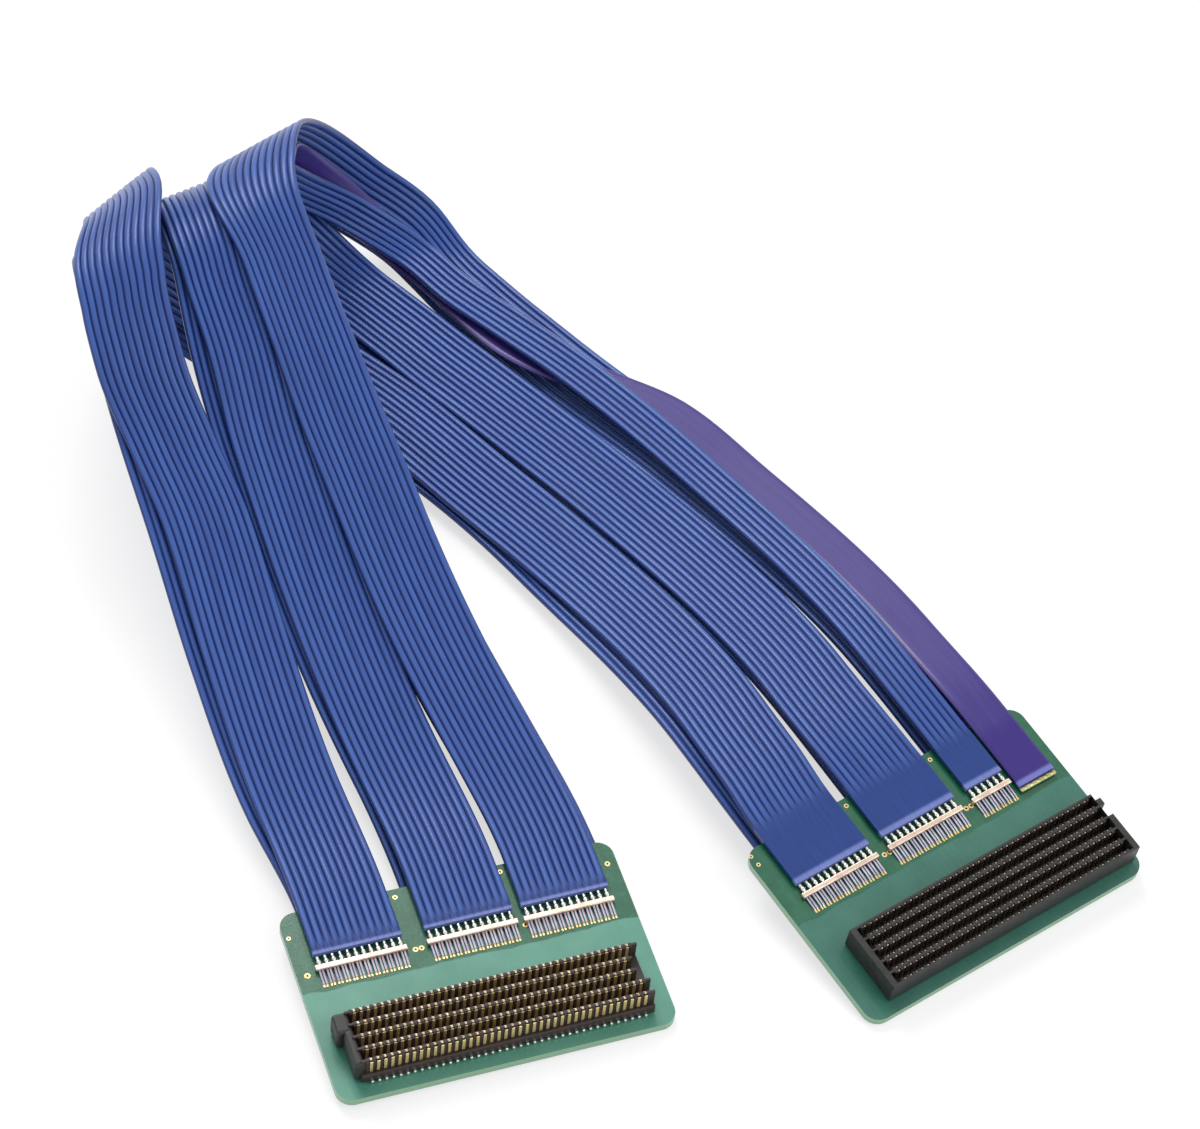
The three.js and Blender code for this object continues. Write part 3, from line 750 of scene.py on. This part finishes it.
def boardMaterial(side):
    material, tree, shader = newMaterial(side + "BoardGreen", roughness=0.3, coat=0.3, coatRoughness=0.12)
    coords = boardCoords(tree, side)
    parts = newNode(tree, "ShaderNodeSeparateXYZ")
    join(tree, coords, parts.inputs[0])
    bare = addMottle(tree, coords, 0.12, *boardLook[side], 0.3, 0.7, 0.2)
    coated = addMottle(tree, coords, 0.5, *boardLook["coated"], 0.3, 0.7, 0.35)
    wave = newNode(tree, "ShaderNodeTexNoise", noise_dimensions="3D")
    wave.inputs["Scale"].default_value = 0.16
    join(tree, coords, wave.inputs["Vector"])
    line = arithmetic(tree, "MULTIPLY_ADD", wave.outputs["Fac"], 1.6, parts.outputs[1])
    share = remap(tree, line, -boardLook["coatedDepth"] + 0.55, -boardLook["coatedDepth"] + 0.85)
    colour = mixColours(tree, share, bare.outputs["Colour"], coated.outputs["Colour"])
    traces = newNode(tree, "ShaderNodeTexWave", wave_type="BANDS", bands_direction="X")
    traces.inputs["Scale"].default_value = 0.25
    join(tree, coords, traces.inputs["Vector"])
    faint = remap(tree, traces.outputs["Fac"], 0.72, 0.9, 0.0, 0.02)
    colour = mixColours(tree, faint, colour, boardLook["edge"])
    facing = newNode(tree, "ShaderNodeVectorMath", operation="DOT_PRODUCT")
    join(tree, newNode(tree, "ShaderNodeTexCoord").outputs["Normal"], facing.inputs[0])
    facing.inputs[1].default_value = boards[side].to_3x3().col[2]
    cutEdge = remap(tree, arithmetic(tree, "ABSOLUTE", facing.outputs["Value"]), 0.3, 0.7, 1.0, 0.0)
    colour = mixColours(tree, cutEdge, colour, boardLook["edge"])
    join(tree, colour, shader.inputs["Base Color"])
    rough = arithmetic(tree, "MULTIPLY_ADD", share, -0.12, 0.36)
    rough = arithmetic(tree, "MULTIPLY_ADD", coated.outputs["Mask"], 0.06, rough)
    join(tree, rough, shader.inputs["Roughness"])
    addBump(tree, shader, coated.outputs["Height"], 0.12, 0.05 * mm)
    return material


def metalMaterial(name, look, scale, roughness, metallic=1.0):
    material, tree, shader = newMaterial(name, metallic=metallic, roughness=roughness)
    coords = newNode(tree, "ShaderNodeTexCoord").outputs["Object"]
    mottled = addMottle(tree, coords, scale, *look, 0.3, 0.7, 0.3)
    join(tree, mottled.outputs["Colour"], shader.inputs["Base Color"])
    spread = remap(tree, mottled.outputs["Mask"], 0, 1, roughness + 0.1, roughness - 0.06)
    join(tree, spread, shader.inputs["Roughness"])
    addBump(tree, shader, mottled.outputs["Height"], 0.3, 0.05 * mm)
    return material


def housingMaterial(name, look):
    material, tree, shader = newMaterial(name, roughness=0.45, specular=0.4)
    coords = newNode(tree, "ShaderNodeTexCoord").outputs["Object"]
    grain = addMottle(tree, coords, 500, *look, 0.3, 0.7, 0.4)
    join(tree, grain.outputs["Colour"], shader.inputs["Base Color"])
    join(tree, remap(tree, grain.outputs["Mask"], 0, 1, 0.4, 0.55), shader.inputs["Roughness"])
    addBump(tree, shader, grain.outputs["Height"], 0.25, 0.03 * mm)
    return material


finishes = {
    "gold": metalMaterial("contactGold", metalLook["gold"], 700, 0.3, 0.8),
    "tin": metalMaterial("tinnedSolder", metalLook["tin"], 900, 0.26),
    "tip": metalMaterial("contactTip", metalLook["tip"], 800, 0.4),
    "bar": metalMaterial("groundBar", metalLook["bar"], 350, 0.3),
    "wire": metalMaterial("bareWire", metalLook["wire"], 600, 0.35),
    "strip": metalMaterial("solderStrip", metalLook["strip"], 500, 0.32),
    "housing": housingMaterial("housingBlack", housingLook["inner"]),
    "wall": housingMaterial("wallBlack", housingLook["wall"]),
}
for side in boards:
    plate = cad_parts[side + "_board"]
    plate.data.materials.clear()
    plate.data.materials.append(boardMaterial(side))
print("boards coloured")


# Pieces on a board are built in its own millimetres, and then seated on it
def finished(piece, kind, **settings):
    step = piece.modifiers.new(kind.lower(), kind)
    for key, value in settings.items():
        setattr(step, key, value)
    deselect(piece)
    bpy.ops.object.modifier_apply(modifier=step.name)


def block(size, place, finish, bevel=0.0, segments=2):
    deselect()
    bpy.ops.mesh.primitive_cube_add(size=1, location=Vector(place) * mm)
    piece = bpy.context.object
    piece.scale = Vector(size) * mm
    bpy.ops.object.transform_apply(location=True, rotation=True, scale=True)
    piece.data.materials.append(finishes[finish])
    if bevel:
        finished(piece, "BEVEL", width=bevel * mm, segments=segments, limit_method="ANGLE")
    return piece


def rod(radius, start, end, finish, sides=8):
    deselect()
    middle = (Vector(start) + Vector(end)) / 2
    run = Vector(end) - Vector(start)
    bpy.ops.mesh.primitive_cylinder_add(vertices=sides, radius=radius * mm, depth=run.length * mm,
                                        location=middle * mm, rotation=run.to_track_quat("Z", "Y").to_euler())
    piece = bpy.context.object
    bpy.ops.object.transform_apply(location=True, rotation=True, scale=True)
    piece.data.materials.append(finishes[finish])
    bpy.ops.object.shade_smooth_by_angle(angle=math.radians(50))
    return piece


def bead(size, place, finish):
    deselect()
    bpy.ops.mesh.primitive_uv_sphere_add(segments=8, ring_count=6, radius=0.5, location=Vector(place) * mm)
    piece = bpy.context.object
    piece.scale = Vector(size) * mm
    bpy.ops.object.transform_apply(location=True, rotation=True, scale=True)
    piece.data.materials.append(finishes[finish])
    bpy.ops.object.shade_smooth_by_angle(angle=math.radians(60))
    return piece


def repeated(piece, count, step):
    finished(piece, "ARRAY", count=count, use_relative_offset=False, use_constant_offset=True,
             constant_offset_displace=Vector(step) * mm)
    return piece


def copied(piece, step):
    twin = piece.copy()
    twin.data = piece.data.copy()
    bpy.context.collection.objects.link(twin)
    twin.data.transform(Matrix.Translation(Vector(step) * mm))
    return twin


def united(pieces, name, place, node=None):
    deselect(*pieces)
    bpy.ops.object.join()
    whole = bpy.context.object
    whole.name = name
    whole.data.name = name
    whole.matrix_world = place
    bpy.ops.object.transform_apply(location=True, rotation=True, scale=True)
    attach(whole, "root")
    if node:
        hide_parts(node)
    return whole


# A ground bar with its drain wires and solder, and the signal wires in front of it
joint = {
    "reach": 12.2,  # from the board's back edge
    "depth": 1.1,
    "height": 0.9,
    "overhang": 0.3,
    "drainRadius": 0.32,
    "bead": (0.88, 1.35, 0.82),
    "wireRadius": 0.2,
    "wireGap": 0.55,  # between the two wires of a core
    "wireEnd": 15.8,
    "pad": (0.36, 0.75, 0.1),
    "padUp": 0.87,
    "strip": (0.9, 0.6),
    "stripReach": 14.9,
    "lump": (1.5, 0.85, 0.66),
    "lumpPitch": 1.55,
}


def jointPlace(side, spec):
    facing = 1 if side == "left" else -1
    end = 0 if side == "left" else length
    across = spec["lane"] + float(smoothly(spec["way"], np.array(float(end))))
    turn = Matrix.Identity(4) if spec["side"] == facing else Matrix.Rotation(math.pi, 4, "Y")
    return boards[side] @ Matrix.Translation((across * mm, 0, 0)) @ turn


def makeBar(side, spec):
    cores, pitch = spec["cores"], spec["width"] / spec["cores"]
    first = -(cores - 1) / 2 * pitch
    y, seat = -joint["reach"], board["seat"]
    bar = block((spec["width"] + 2 * joint["overhang"], joint["depth"], joint["height"]),
                (0, y - joint["depth"] / 2, seat + joint["height"] / 2), "bar", 0.22, 3)
    drain = rod(joint["drainRadius"], (first, y + 1.7, seat + 0.42), (first, y - 0.2, seat + 0.42), "tin")
    drop = bead(joint["bead"], (first, y + 0.62, seat + 0.5), "tin")
    pieces = [bar, repeated(drain, cores, (pitch, 0, 0)), repeated(drop, cores, (pitch, 0, 0))]
    name = side + "_bar_" + spec["name"]
    place = jointPlace(side, spec)
    united(pieces, name + "_soldered", place, name)
    x, level, end = first - joint["wireGap"] / 2, seat - 0.12, -joint["wireEnd"]
    wire = rod(joint["wireRadius"], (x, y - joint["depth"] + 0.05, level + 0.25), (x, end, level), "wire", 6)
    pad = block(joint["pad"], (x, end - 0.25, joint["padUp"]), "gold", 0.03, 1)
    front = [wire, copied(wire, (joint["wireGap"], 0, 0)), pad, copied(pad, (joint["wireGap"], 0, 0))]
    front = [repeated(piece, cores, (pitch, 0, 0)) for piece in front]
    united(front, side + "_wires_" + spec["name"], place)


def makeStrip(side, spec):
    depth, height = joint["strip"]
    y, seat = -joint["stripReach"] - depth / 2, board["seat"]
    strip = block((spec["width"], depth, height), (0, y, seat + height / 2), "strip", 0.18, 3)
    lump = bead(joint["lump"], (-spec["width"] / 2 + 0.9, y, seat + 0.36), "strip")
    pieces = [strip, repeated(lump, 5, (joint["lumpPitch"], 0, 0))]
    name = side + "_solder_" + spec["name"]
    united(pieces, name + "_strip", jointPlace(side, spec), name)


for side in boards:
    for spec in ribbons:
        if spec["cores"]:
            makeBar(side, spec)
        else:
            makeStrip(side, spec)
print("bars and wires soldered")

# Bare pads round small holes: place across and in from the back left corner, and radius
padPlaces = {
    "left": [(1.9, 13.3, 0.55), (21.6, 13.1, 0.5), (22.7, 13.1, 0.5), (41.7, 13.4, 0.5),
             (21.3, 1.7, 0.45), (40.8, 1.5, 0.45), (59.7, 5.0, 0.5), (0.9, 5.0, 0.4)],
    "right": [(22.0, 13.1, 0.5), (23.1, 13.1, 0.5), (40.6, 13.0, 0.5), (41.7, 13.0, 0.5),
              (22.0, 1.5, 0.45), (41.0, 1.5, 0.45), (1.0, 1.2, 0.4), (1.2, 3.2, 0.4)],
}


def makePads(side):
    pieces = []
    for w, d, radius in padPlaces[side]:
        x, y, face = w - board["width"] / 2, -d, board["thickness"] / 2
        pieces.append(rod(radius, (x, y, face), (x, y, face + 0.06), "gold", 16))
        # A dark disc stands for each hole: painted shade inside the hole
        pieces.append(rod(radius * 0.45, (x, y, face), (x, y, face + 0.08), "housing", 12))
    united(pieces, side + "_pads", boards[side])


for side in boards:
    makePads(side)

# The connectors, one with fins and one with slots
connector = {
    "middle": -30.6,
    "pairPitch": 2.54,
    "contactPitch": 1.27,
    "contacts": 40,
    "finLength": 53.13,
    "finHeight": 5.2,
    "finThick": 0.95,
    "finCore": 0.5,
    "finShorter": (0, 1.7, 1.7, 0, 0),  # at the right end of each fin
    "rib": 0.52,
    "base": 2.0,
    "baseDepth": 12.6,
    "blade": (0.6, 0.16, 2.9),
    "cap": (0.4, 0.5, 0.2),
    "tail": (0.55, 0.8, 0.85),
    "endWalls": (((2.9, 4.285, 4.9), (-26.915, -27.19), 0.7), ((1.7, 7.425, 4.9), (-26.315, -32.44), 0.6)),
    "headerShift": 0.5,
    "socketShift": 2.0,
    "socketLength": 55.4,
    "socketDepth": 13.2,
    "socketHeight": 4.9,
    "slotDepth": 3.4,
    "slotWidth": 1.4,
    "comb": 0.36,  # depth of the combs on each side of a slot
    "combRib": 0.56,
    "key": (2.2, 2.4, 8),
    "tip": (0.46, 0.3),
}


def pairY(i):
    return connector["middle"] + (2 - i) * connector["pairPitch"]


def makeFin(i, first, top):
    c = connector
    seat, pitch, shorter = board["seat"], c["contactPitch"], c["finShorter"][i]
    x, y, crest = c["headerShift"] - shorter / 2, pairY(i), seat + c["finHeight"]
    contacts = c["contacts"] - (1 if shorter else 0)
    core = block((c["finLength"] - shorter, c["finCore"], c["finHeight"]),
                 (x, y, seat + c["finHeight"] / 2), "housing", 0.1)
    cap = block(c["cap"], (first, y, crest - 0.04), "tip", 0.05, 1)
    ribTop = crest - 0.12
    rib = block((c["rib"], c["finThick"], ribTop - top), (first - pitch / 2, y, (top + ribTop) / 2),
                "housing", 0.06, 1)
    pieces = [core, repeated(cap, contacts, (pitch, 0, 0)), repeated(rib, contacts + 1, (pitch, 0, 0))]
    for way in (-1, 1):
        proud = 0.17 if i == 4 and way == -1 else 0
        blade = block(c["blade"], (first, y + way * (0.36 + proud), top + 1.55), "gold", 0.05, 1)
        pieces.append(repeated(blade, contacts, (pitch, 0, 0)))
    return pieces


def makeHeader():
    c = connector
    seat, pitch, shift = board["seat"], c["contactPitch"], c["headerShift"]
    first = shift - (c["contacts"] - 1) / 2 * pitch
    pieces = [block((c["finLength"], c["baseDepth"], c["base"]), (shift, c["middle"], seat + c["base"] / 2),
                    "housing", 0.25)]
    for i in range(5):
        pieces += makeFin(i, first, seat + c["base"])
    for size, (x, y), bevel in c["endWalls"]:
        pieces.append(block(size, (x, y, seat + size[2] / 2), "wall", bevel, 4))
    tail = block(c["tail"], (first, -37.05, 1.25), "tin", 0.2, 2)
    pieces.append(repeated(tail, c["contacts"], (pitch, 0, 0)))
    united(pieces, "left_header_contacts", boards["left"], "left_header")


def socketBody(top, floor):
    c = connector
    shift, right = c["socketShift"], c["socketShift"] + c["socketLength"] / 2
    body = block((c["socketLength"], c["socketDepth"], c["socketHeight"]),
                 (shift, c["middle"], top - c["socketHeight"] / 2), "wall")
    cutter = block((c["finLength"], c["slotWidth"] + 2 * c["comb"], c["slotDepth"] + 1),
                   (shift, pairY(0), floor + (c["slotDepth"] + 1) / 2), "housing")
    repeated(cutter, 5, (0, -c["pairPitch"], 0))
    keys = [block(c["key"], (right, y, top - 2), "wall") for y in (pairY(1), pairY(0) + c["pairPitch"] / 2)]
    for tool in [cutter] + keys:
        finished(body, "BOOLEAN", operation="DIFFERENCE", solver="EXACT", object=tool)
        bpy.data.objects.remove(tool)
    finished(body, "BEVEL", width=0.1 * mm, segments=2, limit_method="ANGLE")
    return body


def makeSocket():
    c = connector
    pitch, comb, deep = c["contactPitch"], c["comb"], c["slotDepth"]
    top = board["seat"] + c["socketHeight"]
    floor = top - deep
    first = c["socketShift"] - (c["contacts"] - 1) / 2 * pitch
    pieces = [socketBody(top, floor)]
    rib = block((c["combRib"], comb + 0.06, deep), (first - pitch / 2, 0, (floor + top) / 2),
                "housing", 0.07, 1)
    repeated(rib, c["contacts"] + 1, (pitch, 0, 0))
    tip = block((*c["tip"], deep - 0.15), (first, 0, floor + (deep - 0.15) / 2), "tip", 0.08, 1)
    repeated(tip, c["contacts"], (pitch, 0, 0))
    for i in range(5):
        for way in (-1, 1):
            pieces.append(copied(rib, (0, pairY(i) + way * (c["slotWidth"] + comb) / 2, 0)))
            pieces.append(copied(tip, (0, pairY(i) + way * (c["slotWidth"] + comb + 0.05) / 2, 0)))
    bpy.data.objects.remove(rib)
    bpy.data.objects.remove(tip)
    united(pieces, "right_socket_contacts", boards["right"], "right_socket")


makeHeader()
makeSocket()
print("connectors built")
